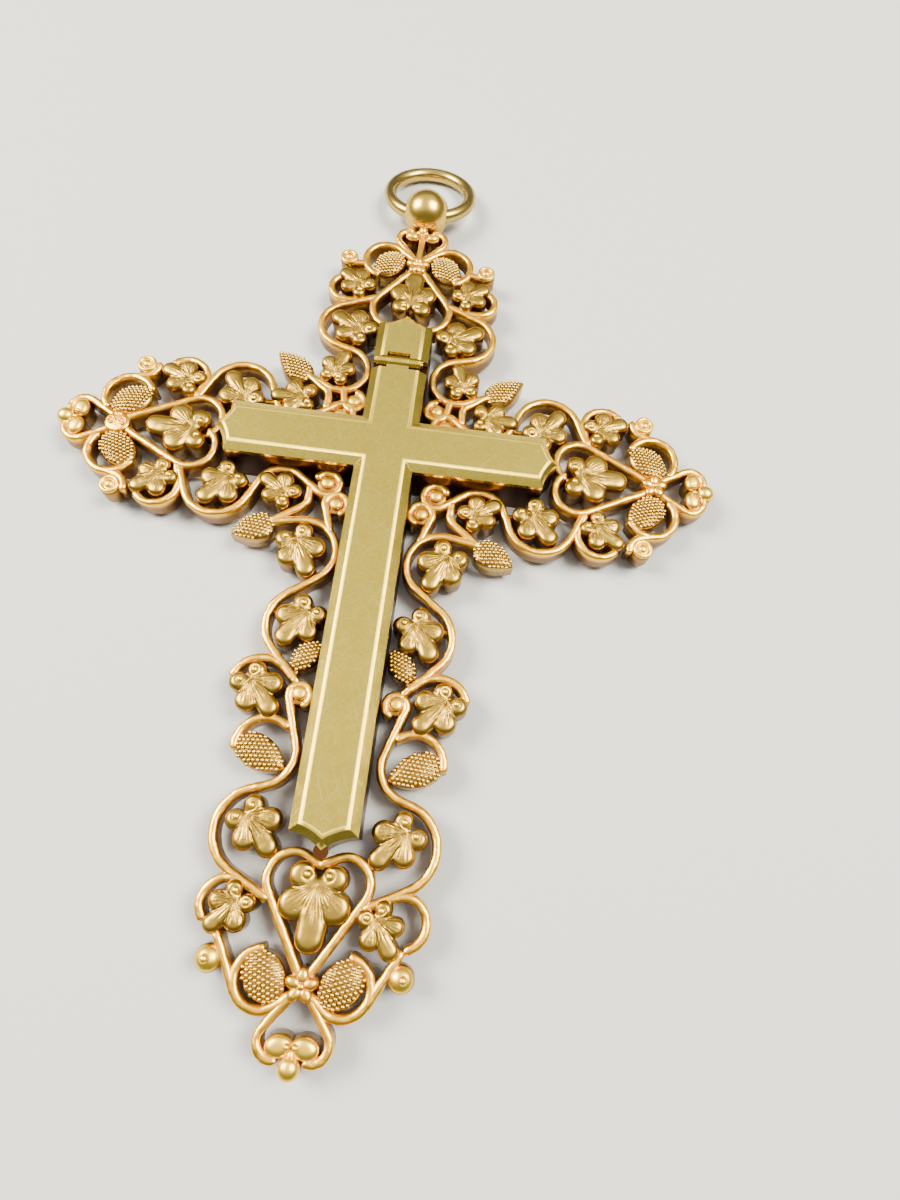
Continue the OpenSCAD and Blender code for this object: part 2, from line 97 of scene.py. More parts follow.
class NodeTree:
    """Short calls for the nodes of one material."""

    def __init__(self, name: str) -> None:
        """Starts an empty material.

        Args:
            name: The material's name.
        """
        self.material = bpy.data.materials.new(name)
        self.material.use_nodes = True
        self.tree = self.material.node_tree
        self.shader = self.tree.nodes["Principled BSDF"]

    def node(self, kind: str, **values: object) -> bpy.types.Node:
        """Adds a node.

        Args:
            kind: The node's type.
            values: Its properties, or its inputs as in_NAME or in_NUMBER.

        Returns:
            The node.
        """
        made = self.tree.nodes.new(kind)
        for key, value in values.items():
            if key.startswith("in_"):
                key = key[3:]
                made.inputs[int(key) if key.isdigit() else key].default_value = value
            else:
                setattr(made, key, value)
        return made

    def link(self, source: bpy.types.NodeSocket, target: bpy.types.NodeSocket) -> None:
        """Joins two sockets."""
        self.tree.links.new(source, target)

    def math(self, operation: str, first: object, second: object = 0.0,
             third: object = 0.0, clamp: bool = False) -> bpy.types.NodeSocket:
        """Adds a Math node.

        Args:
            operation: What it works out.
            first: Its first value, a number or a socket.
            second: Its second value.
            third: Its third value.
            clamp: Whether the result stays between 0 and 1.

        Returns:
            The result's socket.
        """
        made = self.node("ShaderNodeMath", operation=operation, use_clamp=clamp)
        for socket, value in zip(made.inputs, (first, second, third)):
            if isinstance(value, (int, float)):
                socket.default_value = value
            else:
                self.link(value, socket)
        return made.outputs[0]

    def ramp(self, value: bpy.types.NodeSocket, low: float, high: float) -> bpy.types.NodeSocket:
        """Turns a value smoothly into 0 at low and 1 at high."""
        made = self.node("ShaderNodeMapRange", interpolation_type="SMOOTHSTEP",
                         in_1=low, in_2=high)
        self.link(value, made.inputs[0])
        return made.outputs[0]

    def mix(self, share: object, first: object, second: object) -> bpy.types.NodeSocket:
        """Mixes two colours by a share.

        Args:
            share: A number or a socket.
            first: The colour at 0, as values or a socket.
            second: The colour at 1.

        Returns:
            The mixed colour's socket.
        """
        made = self.node("ShaderNodeMix", data_type="RGBA")
        for number, value in ((0, share), (6, first), (7, second)):
            if isinstance(value, bpy.types.NodeSocket):
                self.link(value, made.inputs[number])
            elif isinstance(value, tuple):
                made.inputs[number].default_value = (*value, 1.0)
            else:
                made.inputs[number].default_value = value
        return made.outputs[2]

    def place(self) -> bpy.types.NodeSocket:
        """Gives the Object coordinates."""
        return self.node("ShaderNodeTexCoord").outputs["Object"]

    def chart(self, name: str) -> bpy.types.NodeSocket:
        """Gives a piece's own map."""
        return self.node("ShaderNodeUVMap", uv_map=name).outputs[0]

    def parts(self, source: bpy.types.NodeSocket) -> bpy.types.bpy_prop_collection:
        """Splits a vector into the sockets of its X, Y and Z."""
        made = self.node("ShaderNodeSeparateXYZ")
        self.link(source, made.inputs[0])
        return made.outputs

    def length(self, first: bpy.types.NodeSocket,
               second: bpy.types.NodeSocket) -> bpy.types.NodeSocket:
        """Gives the length of a flat vector from its two numbers."""
        return self.math("SQRT", self.math("ADD", self.math("MULTIPLY", first, first),
                                           self.math("MULTIPLY", second, second)))

    def noise(self, scale: float, detail: float = 2.0, stretch: tuple = (1.0, 1.0, 1.0),
              turn: float = 0.0) -> bpy.types.NodeSocket:
        """Adds a noise pattern on Object coordinates.

        Args:
            scale: How many grains go into a metre.
            detail: How many finer layers it has.
            stretch: How much longer it is along each axis, once turned.
            turn: Its angle about Z, in degrees.

        Returns:
            The noise's value.
        """
        mapping = self.node("ShaderNodeMapping", vector_type="TEXTURE", in_Scale=stretch,
                            in_Rotation=(0.0, 0.0, math.radians(turn)))
        self.link(self.place(), mapping.inputs[0])
        made = self.node("ShaderNodeTexNoise", in_Scale=scale, in_Detail=detail)
        self.link(mapping.outputs[0], made.inputs["Vector"])
        return made.outputs[0]

    def bump(self, height: bpy.types.NodeSocket, depth: float,
             under: bpy.types.NodeSocket | None = None) -> bpy.types.NodeSocket:
        """Adds a bump.

        Args:
            height: The pattern's height, from 0 to 1.
            depth: Its depth in millimetres.
            under: A bump that this one lies on.

        Returns:
            The bumped normal's socket.
        """
        made = self.node("ShaderNodeBump", in_Strength=1.0, in_Distance=depth * MM)
        self.link(height, made.inputs["Height"])
        if under is not None:
            self.link(under, made.inputs["Normal"])
        return made.outputs[0]

    def gold(self, colour: bpy.types.NodeSocket, roughness: bpy.types.NodeSocket,
             normal: bpy.types.NodeSocket) -> bpy.types.Material:
        """Makes the shader a metal.

        Args:
            colour: Its colour.
            roughness: Its roughness.
            normal: Its bumped normal.

        Returns:
            The finished material.
        """
        for name, source in (("Base Color", colour), ("Roughness", roughness),
                             ("Normal", normal)):
            self.link(source, self.shader.inputs[name])
        self.shader.inputs["Metallic"].default_value = 1.0
        return self.material


@dataclass(frozen=True)
class SatinGold:
    """The case's greenish satin gold, with fine scratches that run every way.

    The map named crest is 1 on the rounded crests, which are worn duller than the flats.
    """

    colour: tuple = (0.72, 0.55, 0.062)
    dull: tuple = (0.66, 0.49, 0.052)
    # Painted shade: the near-black colour of the case's walls below the lid's seam and of the
    # thumb tab, standing in for dark reflections.
    wall: tuple = (0.072, 0.027, 0.010)
    scratch_colour: tuple = (1.0, 0.83, 0.25)
    scratch_share: float = 0.4
    hairline_share: float = 0.7
    roughness: float = 0.225
    worn: float = 0.24
    wall_roughness: float = 0.15
    scratch: float = 0.0015
    long_scratches: tuple = ((22.0, 4600.0), (64.0, 5000.0), (141.0, 4800.0))
    hairlines: tuple = ((8.0, 8200.0), (47.0, 7600.0), (95.0, 8600.0), (125.0, 7900.0))
    seam: float = 5.4 * MM
    seam_blur: float = 0.1 * MM
    tab_y: float = -49.15 * MM
    tab_reach: float = 0.84 * MM
    tab_top: float = 6.02 * MM

    def make(self) -> bpy.types.Material:
        """Returns the material."""
        t = NodeTree("satin_gold")
        clouds = t.noise(260.0, 3.0)
        colour = t.mix(t.ramp(clouds, 0.42, 0.72), self.colour, self.dull)
        scratches = self.lines(t, self.long_scratches, 24.0, 0.655)
        hairlines = t.math("MULTIPLY", self.lines(t, self.hairlines, 12.0, 0.585),
                           self.hairline_share)
        scratches = t.math("MAXIMUM", scratches, hairlines)
        rough = t.math("MULTIPLY_ADD", clouds, 0.10, self.roughness - 0.06)
        colour = t.mix(t.math("MULTIPLY", scratches, self.scratch_share), colour,
                       self.scratch_colour)
        place = t.parts(t.place())
        # Painted shade: below the seam, on the case's walls, and on the thumb tab, the colour
        # turns to the dark wall colour.
        low = t.ramp(place[2], self.seam + self.seam_blur, self.seam - self.seam_blur)
        low = t.math("MAXIMUM", low, self.tab(t, place))
        rough = t.math("MULTIPLY_ADD", low, self.wall_roughness, rough)
        rough = t.math("MULTIPLY_ADD", t.parts(t.chart("crest"))[0], self.worn, rough)
        grain = t.bump(t.noise(9000.0, 2.0), 0.0015)
        return t.gold(t.mix(low, colour, self.wall), rough,
                      t.bump(scratches, self.scratch, grain))

    def lines(self, t: NodeTree, rows: tuple, length: float, low: float) -> bpy.types.NodeSocket:
        """Draws straight scratches in several directions.

        Args:
            t: The material's nodes.
            rows: The direction in degrees and the fineness of each set.
            length: How many times longer than wide they are.
            low: The noise value where a scratch starts. Higher values leave fewer.

        Returns:
            A value of 1 in the scratches.
        """
        drawn = None
        for turn, scale in rows:
            line = t.ramp(t.noise(scale, 1.0, (1.0, length, 3.0), turn), low, low + 0.09)
            drawn = line if drawn is None else t.math("MAXIMUM", drawn, line)
        return drawn

    def tab(self, t: NodeTree, place: bpy.types.bpy_prop_collection) -> bpy.types.NodeSocket:
        """Marks the small thumb tab at the lid's foot, which is painted the same dark shade as the
        case's walls.

        Args:
            t: The material's nodes.
            place: The sockets of the Object coordinates.

        Returns:
            A value of 1 on the tab.
        """
        reach = t.length(place[0], t.math("SUBTRACT", place[1], self.tab_y))
        return t.math("MULTIPLY", t.ramp(reach, self.tab_reach + 0.05 * MM, self.tab_reach),
                      t.ramp(place[2], self.tab_top, self.tab_top - 0.03 * MM))


@dataclass(frozen=True)
class ScrollGold:
    """The border's warm cast gold, with paler and deeper patches on top and the sides below the
    crests painted dark orange as shade.
    """

    crest: tuple = (0.95, 0.545, 0.042)
    patch: tuple = (0.92, 0.44, 0.028)
    # Painted shade: the dark orange colour of the wires' sides.
    side: tuple = (0.30, 0.135, 0.015)
    side_shade_top: tuple = (2.4 * MM, 3.5 * MM)
    roughness: float = 0.31
    hammer: float = 0.045

    def make(self) -> bpy.types.Material:
        """Returns the material."""
        t = NodeTree("scroll_gold")
        # Painted shade: the sides turn dark below the band of heights where the top colour begins.
        high = t.ramp(t.parts(t.place())[2], *self.side_shade_top)
        patches = t.noise(700.0, 3.0)
        top = t.mix(t.ramp(patches, 0.45, 0.7), self.crest, self.patch)
        grain = t.bump(t.noise(6000.0, 3.0), 0.006)
        return t.gold(t.mix(high, self.side, top),
                      t.math("MULTIPLY_ADD", patches, 0.16, self.roughness - 0.08),
                      t.bump(t.noise(1300.0, 2.0), self.hammer, grain))


@dataclass(frozen=True)
class LeafGold:
    """A leaf's gold: satin pads with engraved lines from the stalk, and painted shade: a darker,
    warmer colour in the creases, on the pads' low edges and in the engraved lines, and a dark
    colour on the sides.
    """

    pad: tuple = (0.40, 0.262, 0.040)
    # Painted shade: the darker, warmer colour of the creases, the pads' low edges and the engraved
    # lines, and below it the dark colour of the sides.
    crease: tuple = (0.33, 0.188, 0.029)
    side: tuple = (0.23, 0.115, 0.014)
    roughness: float = 0.3
    side_shade_top: tuple = (3.2 * MM, 3.75 * MM)
    crease_shade_top: tuple = (3.85 * MM, 4.1 * MM)
    stalk: float = 0.08
    strokes: float = 36.0
    stroke_depth: float = -0.03
    stroke_share: float = 0.7

    def make(self) -> bpy.types.Material:
        """Returns the material."""
        t = NodeTree("leaf_gold")
        height = t.parts(t.place())[2]
        chart = t.parts(t.chart("leaf"))
        along, aside = t.math("ADD", chart[0], self.stalk), chart[1]
        reach = t.length(along, aside)
        angle = t.math("ARCTAN2", aside, along)
        wobble = t.math("MULTIPLY", t.noise(900.0, 1.0), 1.6)
        lines = t.math("SINE", t.math("ADD", t.math("MULTIPLY", angle, self.strokes), wobble))
        lines = t.math("MULTIPLY_ADD", lines, 0.5, 0.5)
        near = t.math("MULTIPLY", t.ramp(reach, 0.36, 0.2), t.ramp(along, -0.01, 0.04))
        dots = t.ramp(t.noise(4200.0, 1.0), 0.56, 0.66)
        engraved = t.math("MULTIPLY", t.math("MAXIMUM", lines, dots), near)
        # Painted shade: the sides turn dark, and the low parts of the pads and the engraved lines
        # take the darker crease colour.
        high = t.ramp(height, *self.side_shade_top)
        pad = t.mix(t.ramp(height, *self.crease_shade_top), self.crease, self.pad)
        top = t.mix(t.math("MULTIPLY", engraved, self.stroke_share), pad, self.crease)
        grain = t.bump(t.noise(6500.0, 3.0), 0.008)
        return t.gold(
            t.mix(high, self.side, top),
            t.math("MULTIPLY_ADD", t.noise(800.0, 3.0), 0.14, self.roughness - 0.06),
            t.bump(engraved, self.stroke_depth, grain))


@dataclass(frozen=True)
class GrapeGold:
    """The grape clusters' gold, with painted shade: darker low down between the grapes and on the
    clusters' sides.
    """

    grape: tuple = (0.64, 0.46, 0.105)
    gap_shade: tuple = (0.43, 0.26, 0.055)
    roughness: float = 0.3

    def make(self) -> bpy.types.Material:
        """Returns the material."""
        t = NodeTree("grape_gold")
        # Painted shade: the colour darkens from each grape's top down to the skin between the
        # grapes.
        up = t.ramp(t.parts(t.chart("grape"))[0], 0.1, 0.85)
        return t.gold(t.mix(up, self.gap_shade, self.grape),
                      t.math("MULTIPLY_ADD", t.noise(1500.0), 0.16, self.roughness - 0.08),
                      t.bump(t.noise(5200.0), 0.008))


@dataclass(frozen=True)
class SmoothGold:
    """Smooth rubbed gold, with painted shade, a darker colour low down on a piece's sides, when
    one is given.
    """

    name: str
    colour: tuple
    dull: tuple
    roughness: float = 0.27
    groove_shade: tuple | None = None
    groove_z: float = 3.3 * MM

    def make(self) -> bpy.types.Material:
        """Returns the material."""
        t = NodeTree(self.name)
        clouds = t.noise(420.0, 3.0)
        colour = t.mix(t.ramp(clouds, 0.45, 0.8), self.colour, self.dull)
        if self.groove_shade is not None:
            height = t.parts(t.place())[2]
            # Painted shade: the colour turns darker below groove_z.
            low = t.ramp(height, self.groove_z + 0.2 * MM, self.groove_z)
            colour = t.mix(low, colour, self.groove_shade)
        return t.gold(colour, t.math("MULTIPLY_ADD", clouds, 0.10, self.roughness - 0.05),
                      t.bump(t.noise(7000.0, 2.0), 0.002))


BALL_GOLD = SmoothGold("ball_gold", (0.68, 0.46, 0.078), (0.60, 0.37, 0.05))
# The ring's gold is darker than the ball's, as painted shade standing in for dark reflections.
SHADED_RING_GOLD = SmoothGold("ring_gold", (0.50, 0.36, 0.092), (0.44, 0.30, 0.076))
# The buds and knobs get painted shade low down on their sides.
BUD_GOLD = SmoothGold("bud_gold", (0.97, 0.66, 0.06), (0.92, 0.57, 0.045), roughness=0.34,
                      groove_shade=(0.30, 0.15, 0.022))


@dataclass(frozen=True)
class FloorFinish:
    """The plain pale floor."""

    colour: tuple = (0.49, 0.515, 0.545)
    roughness: float = 0.8

    def make(self) -> bpy.types.Material:
        """Returns the material."""
        t = NodeTree("pale_floor")
        t.shader.inputs["Base Color"].default_value = (*self.colour, 1.0)
        t.shader.inputs["Roughness"].default_value = self.roughness
        return t.material


def finish_piece(shape: BMesh, name: str, material: bpy.types.Material, body: Body,
                 stands_for: str = "") -> bpy.types.Object:
    """Makes a finished piece of a shape.

    Args:
        shape: The shape in millimetres. It is freed.
        name: The piece's name.
        material: Its finish.
        body: The body that it rides on.
        stands_for: The part's node that it replaces, if any.

    Returns:
        The piece.
    """
    bmesh.ops.scale(shape, vec=(MM, MM, MM), verts=shape.verts)
    mesh = bpy.data.meshes.new(name)
    shape.to_mesh(mesh)
    shape.free()
    mesh.materials.append(material)
    mesh.shade_smooth()
    piece = bpy.data.objects.new(name, mesh)
    bpy.context.scene.collection.objects.link(piece)
    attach(piece, body.value)
    if stands_for:
        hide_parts(stands_for)
    LOG.info("%s: %d faces", name, len(mesh.polygons))
    return piece


def join(target: BMesh, source: BMesh, place: Matrix | None = None) -> None:
    """Adds a copy of a shape to another.

    Args:
        target: The shape that grows.
        source: The shape that is copied.
        place: Where the copy goes.
    """
    mesh = bpy.data.meshes.new("part")
    source.to_mesh(mesh)
    if place is not None:
        mesh.transform(place)
        if place.is_negative:
            mesh.flip_normals()
    target.from_mesh(mesh)
    bpy.data.meshes.remove(mesh)


def mirrored(shape: BMesh, axis: int) -> None:
    """Adds the mirror image of a shape to itself.

    Args:
        shape: The shape.
        axis: 0 for an image across the stem and 1 for one across the arms.
    """
    copy = shape.copy()
    flip = Matrix.Identity(4)
    flip[axis][axis] = -1.0
    join(shape, copy, flip)
    copy.free()


def placed(x: float, y: float, turn: float, size: float = 1.0) -> Matrix:
    """Gives the matrix that turns a shape about Z, sizes it in plan and moves it."""
    return (Matrix.Translation((x, y, 0.0)) @ Matrix.Rotation(math.radians(turn), 4, "Z")
            @ Matrix.Diagonal((size, size, 1.0, 1.0)))


def pick(geometry: list, kind: type) -> list:
    """Picks the corners or the edges from a list of both."""
    return [item for item in geometry if isinstance(item, kind)]


def draw_loop(shape: BMesh, points: list) -> list:
    """Draws a closed loop of edges through some points.

    Args:
        shape: The shape that it is added to.
        points: The points, in order.

    Returns:
        The loop's corners and edges.
    """
    corners = [shape.verts.new(point) for point in points]
    return corners + [shape.edges.new((corners[i], corners[(i + 1) % len(corners)]))
                      for i in range(len(corners))]


def turn_round(shape: BMesh, loop: list, centre: tuple, axis: tuple, steps: int) -> None:
    """Turns a closed loop once round an axis.

    Args:
        shape: The shape.
        loop: The loop's corners and edges.
        centre: A point of the axis.
        axis: The axis's direction.
        steps: How many segments go round.
    """
    bmesh.ops.spin(shape, geom=loop, cent=centre, axis=axis, dvec=(0, 0, 0), angle=math.tau,
                   steps=steps, use_merge=True, use_duplicate=False)


def round_ring(shape: BMesh, centre: tuple, radius: float, wire: float, detail: tuple) -> None:
    """Adds a flat ring of round wire.

    Args:
        shape: The shape that it is added to.
        centre: The ring's middle.
        radius: Its radius.
        wire: The wire's radius.
        detail: How many segments go round the wire and round the ring.
    """
    x, y, z = centre
    circle = bmesh.ops.create_circle(
        shape, cap_ends=False, segments=detail[0], radius=wire,
        matrix=Matrix.Translation((x + radius, y, z)) @ Matrix.Rotation(math.pi / 2, 4, "X"))
    edges = {e for v in circle["verts"] for e in v.link_edges}
    turn_round(shape, [*circle["verts"], *edges], (x, y, 0), (0, 0, 1), detail[1])


def round_edges(shape: BMesh, edges: list, width: float, segments: int) -> list:
    """Rounds edges off.

    Args:
        shape: The shape.
        edges: Its edges.
        width: How wide the rounding is.
        segments: How many strips it has.

    Returns:
        The rounding's faces.
    """
    return bmesh.ops.bevel(shape, geom=edges, offset=width, offset_type="OFFSET",
                           segments=segments, profile=0.5, affect="EDGES", clamp_overlap=True,
                           material=-1)["faces"]


def domed_post(shape: BMesh, centre: tuple[float, float], radii: tuple[float, float],
               turn: float, rim: float, top: float, foot: float = BACK_Z,
               detail: int = 24, fullness: float = 2.2) -> None:
    """Adds a straight-sided post with a pillow-shaped top.

    Args:
        shape: The shape that it is added to.
        centre: Its middle.
        radii: Its half length and half width.
        turn: The direction of its length, in degrees.
        rim: The height where the side ends and the dome starts.
        top: The height of the dome.
        foot: The height of its flat underside.
        detail: How many segments go round it.
        fullness: 2 for a round dome, and more for one with a flatter top.
    """
    made = bmesh.ops.create_uvsphere(shape, u_segments=detail, v_segments=detail // 2, radius=1.0)
    place = placed(centre[0], centre[1], turn)
    for vert in made["verts"]:
        flat = Vector((vert.co.x, vert.co.y))
        if vert.co.z < UNDERSIDE:
            # Spread out to the rim, so that the side stands upright
            reach = flat.length
            if vert.co.z > -0.999 and reach > 0.5:
                flat /= reach
            height = foot
        else:
            reach = min(1.0, flat.length)
            height = rim + (top - rim) * (1 - reach ** fullness) ** 0.55
        vert.co = place @ Vector((flat.x * radii[0], flat.y * radii[1], height))
    bmesh.ops.remove_doubles(shape, verts=made["verts"], dist=WELD)


@dataclass(frozen=True)
class Scroll:
    """One wire of the border.

    A row is (x, y, radius, turn): the wire goes round that circle anticlockwise (1) or clockwise
    (-1), and straight on to the next row. A radius of 0 is a plain end.
    """

    rows: tuple
    first: float = 0.0
    last: float = 0.0


@dataclass
class ScrollWork:
    """The scroll wires, with rounded, chased tops.

    The rows of arms are one quarter of the arms' wires and those of stem the left half of the
    stem's. The wires of single have no mirror image, and a stalk is a low straight wire, given by
    its two ends.
    """

    material: bpy.types.Material
    width: float = 1.0
    shoulder: float = 3.2
    crest: float = 3.68
    crest_steps: int = 8
    crest_fullness: float = 0.7
    end_steps: tuple = ((0.86, 0.18), (0.6, 0.14))
    arc_step: float = 6.0
    run_step: float = 0.45
    arms_from: float = 12.0
    sway: float = 0.07
    fine_sway: float = 0.03
    lift: float = 0.05
    fine_lift: float = 0.035
    seed: int = 7
    arms: tuple = (
        Scroll(((-34.8, -0.5, 0, 0), (-25.2, -2.1, 3.05, 1)), 0, 50),
        Scroll(((-35.9, -0.9, 0, 0), (-40, -1.35, 1.75, -1)), 0, 160),
        Scroll(((-34.9, -4.15, 3.1, 1),), 140, 333),
        Scroll(((-35, -7.2, 0, 0), (-34.1, -9.5, 2, -1)), 0, 0),
        Scroll(((-28.2, -8.2, 2.75, 1), (-26.3, -5.2, 0, 0)), 221, 0),
        Scroll(((-26.1, -5.2, 0, 0), (-20.65, -7.05, 4.25, 1), (-12.6, -7.2, 3.3, -1),
                (-6.95, -5.35, 1.6, 1)), 0, 150),
        Scroll(((-9.1, -6.1, 0, 0), (-10.6, -7.7, 1.55, -1), (-12.9, -11.4, 0, 0))),
    )
    stem: tuple = (
        Scroll(((-13, -11.5, 0, 0), (-8.6, -14.95, 4.2, -1), (-6.4, -24.4, 4.7, 1),
                (-6.2, -31.3, 0, 0))),
        Scroll(((-5.6, -11.9, 0, 0), (-5.4, -8.1, 1.45, -1)), 0, -60),
        Scroll(((-6.6, -30.9, 0, 0), (-10.2, -32.4, 3.5, 1)), 0, 160),
        Scroll(((-5.5, -32.8, 1.25, 1), (-8.5, -39.5, 3.75, -1), (-7.4, -47.9, 4.6, 1),
                (-5.2, -54.2, 0, 0)), -60, 0),
        Scroll(((-8.4, -39, 3.3, 1),), 50, 185),
        Scroll(((-7.4, -53.1, 0, 0), (-9.2, -55.2, 2.55, 1)), 0, 215),
        Scroll(((-0.5, -60.9, 0, 0), (-2.75, -52.1, 2.7, -1), (0, -50.5, 0, 0))),
        Scroll(((-1, -62.7, 0, 0), (-4.1, -61.6, 2.8, -1)), 0, 100),
        Scroll(((-0.8, -62.6, 0, 0), (-1.9, -66.75, 1.65, 1)), 0, 280),
        Scroll(((-9.4, -58, 0, 0), (-6.6, -63, 0, 0))),
        Scroll(((-0.6, 31.6, 0, 0), (-2.2, 24, 3.25, 1)), 0, 265),
        Scroll(((-0.5, 33.2, 0, 0), (-4.7, 32.75, 3, 1)), 0, 250),
        Scroll(((-0.3, 33, 0, 0), (-2, 37.4, 1.5, -1)), 0, 80),
        Scroll(((-9.7, 26.8, 2.1, 1), (-7.5, 24.6, 0, 0)), 120, 0),
        Scroll(((-5.3, 25.6, 0, 0), (-8.4, 20.2, 3.7, 1), (-7.9, 12.6, 3.45, -1),
                (-12.4, 10.9, 0, 0))),
        Scroll(((-7.3, 9.4, 0, 0), (-5.55, 7.6, 1.35, 1)), 0, 80),
        Scroll(((-9.8, 31.4, 0, 0), (-7.5, 31.8, 0, 0))),
    )
    single: tuple = (
        Scroll(((0, 33, 0, 0), (0, 39.5, 0, 0))),
        Scroll(((9.2, -55.2, 2.55, -1),), -30, -72),
    )
    top_stalk: Scroll = Scroll(((0, 29, 0, 0), (0, 31.8, 0, 0)))
    stalks: tuple = (
        (-19.6, -6.7, -16.2, -6.4), (-19.9, 6.1, -16.2, 6.4), (-6.85, 19.3, -8, 16.1),
        (-8.4, -22.9, -11, -23.1), (-5.9, -28.5, -6.9, -30.6), (-26, 0, -23, 0),
        (-40.1, -1.5, -41.9, 0), (-40.1, 1.5, -41.9, 0), (-1.6, -67, 0, -68.9))

    @staticmethod
    def heading(a: tuple, b: tuple) -> float:
        """Gives the heading of the straight run from one row to the next, in degrees."""
        lean = b[3] * b[2] - a[3] * a[2]
        reach = math.hypot(b[0] - a[0], b[1] - a[1])
        return math.degrees(math.atan2(b[1] - a[1], b[0] - a[0]) - math.asin(lean / reach))

    @staticmethod
    def on_circle(row: tuple, angle: float) -> Vector:
        """Gives the point of a row's circle at an angle in degrees."""
        turned = math.radians(angle)
        return Vector((row[0] + row[2] * math.cos(turned), row[1] + row[2] * math.sin(turned), 0))

    def section(self, shape: BMesh, point: Vector, heading: float) -> list:
        """Draws a wire's section, upright across its heading.

        Args:
            shape: The shape that it is added to.
            point: Where the wire starts.
            heading: Its direction there, in degrees.

        Returns:
            The section's corners and edges.
        """
        half = self.width / 2
        outline = [(-half, BACK_Z), (-half, self.shoulder)]
        for step in range(1, self.crest_steps):
            angle = math.pi * (1 - step / self.crest_steps)
            rise = math.sin(angle) ** self.crest_fullness
            outline.append((half * math.cos(angle),
                            self.shoulder + (self.crest - self.shoulder) * rise))
        outline += [(half, self.shoulder), (half, BACK_Z)]
        side = Vector((math.sin(math.radians(heading)), -math.cos(math.radians(heading)), 0))
        return draw_loop(shape, [point + side * across + Vector((0, 0, height))
                                 for across, height in outline])

    def run(self, shape: BMesh, ring: list, way: Vector) -> list:
        """Draws a wire straight on from its last section.

        Args:
            shape: The shape.
            ring: The last section.
            way: The way to the next section.

        Returns:
            The new section.
        """
        steps = max(1, math.ceil(way.length / self.run_step))
        for _ in range(steps):
            made = bmesh.ops.extrude_edge_only(shape, edges=pick(ring, BMEdge))["geom"]
            verts = pick(made, BMVert)
            fresh = set(verts)
            ring = verts + [e for e in pick(made, BMEdge)
                            if e.verts[0] in fresh and e.verts[1] in fresh]
            bmesh.ops.translate(shape, verts=verts, vec=way / steps)
        return ring

    def close_end(self, shape: BMesh, ring: list, heading: float) -> None:
        """Rounds a wire's end off and closes it.

        Args:
            shape: The shape.
            ring: The end's section.
            heading: The way that the wire points there, in degrees.
        """
        way = Vector((math.cos(math.radians(heading)), math.sin(math.radians(heading)), 0))
        for narrower, further in self.end_steps:
            ring = self.run(shape, ring, way * further)
            verts = pick(ring, BMVert)
            middle = sum((v.co for v in verts), Vector()) / len(verts)
            middle.z = BACK_Z + 1
            bmesh.ops.scale(shape, vec=(narrower, narrower, 0.96), verts=verts,
                            space=Matrix.Translation(-middle))
        bmesh.ops.contextual_create(shape, geom=pick(ring, BMEdge))

    def wire(self, shape: BMesh, scroll: Scroll) -> None:
        """Draws one wire.

        Args:
            shape: The shape that it is added to.
            scroll: The wire's rows.
        """
        rows = scroll.rows
        for i, row in enumerate(rows):
            start = scroll.first if i == 0 else self.heading(rows[i - 1], row) - 90 * row[3]
            end = (scroll.last if i == len(rows) - 1
                   else self.heading(row, rows[i + 1]) - 90 * row[3])
            point = self.on_circle(row, start)
            if i == 0:
                begin = start + 90 * row[3] if row[2] else self.heading(row, rows[1])
                ring = first_ring = self.section(shape, point, begin)
            else:
                ring = self.run(shape, ring, point - here)
            here = point
            if row[2]:
                sweep = row[3] * ((row[3] * (end - start)) % 360)
                ring = bmesh.ops.spin(
                    shape, geom=ring, cent=(row[0], row[1], 0), axis=(0, 0, 1),
                    dvec=(0, 0, 0), angle=math.radians(sweep),
                    steps=max(1, math.ceil(abs(sweep) / self.arc_step)),
                    use_merge=False, use_duplicate=False)["geom_last"]
                here = self.on_circle(row, end)
        self.close_end(shape, first_ring, begin + 180)
        self.close_end(shape, ring, end + 90 * row[3] if row[2]
                       else self.heading(rows[-2], row))

    def chase(self, shape: BMesh) -> None:
        """Makes the wires a little uneven, as cast and chased wire is."""
        noise.seed_set(self.seed)
        for vert in shape.verts:
            push = noise.noise_vector(vert.co * 1.1)
            fine = noise.noise_vector(vert.co * 2.6 + Vector((7, 3, 1)))
            share = 1.0 if vert.co.z > 2 else 0.5
            vert.co.x += (push.x * self.sway + fine.x * self.fine_sway) * share
            vert.co.y += (push.y * self.sway + fine.y * self.fine_sway) * share
            if vert.co.z > 3:
                vert.co.z += push.z * self.lift + fine.z * self.fine_lift

    def make(self) -> None:
        """Makes the wires of the arms and of the stem as two pieces."""
        arms = bmesh.new()
        for scroll in self.arms:
            self.wire(arms, scroll)
        mirrored(arms, 1)
        stem = bmesh.new()
        for scroll in self.stem:
            self.wire(stem, scroll)
        straight = ScrollWork(self.material, width=0.75, shoulder=2.4, crest=2.75)
        for row in self.stalks:
            straight.wire(arms if abs(row[0]) > self.arms_from else stem,
                          Scroll(((row[0], row[1], 0, 0), (row[2], row[3], 0, 0))))
        for shape in (arms, stem):
            mirrored(shape, 0)
        for scroll in self.single:
            self.wire(stem, scroll)
        straight.wire(stem, self.top_stalk)
        for name, shape in (("arm_scrolls", arms), ("stem_scrolls", stem)):
            bmesh.ops.recalc_face_normals(shape, faces=shape.faces)
            self.chase(shape)
            finish_piece(shape, name, self.material, Body.CROSS, "vine_frame")


@dataclass(frozen=True)
class LeafPattern:
    """The lobes of one leaf of size 1, with its tip along X.

    A lobe is (x, y, radius), an eye the same and a vein (direction, length) from the stalk. The
    lobes of one part of the leaf have the same number in parts, and creases lie between the parts.
    """

    lobes: tuple
    eyes: tuple
    veins: tuple
    parts: tuple = (0, 0, 0, 0, 1, 1, 2, 2, 3, 4)


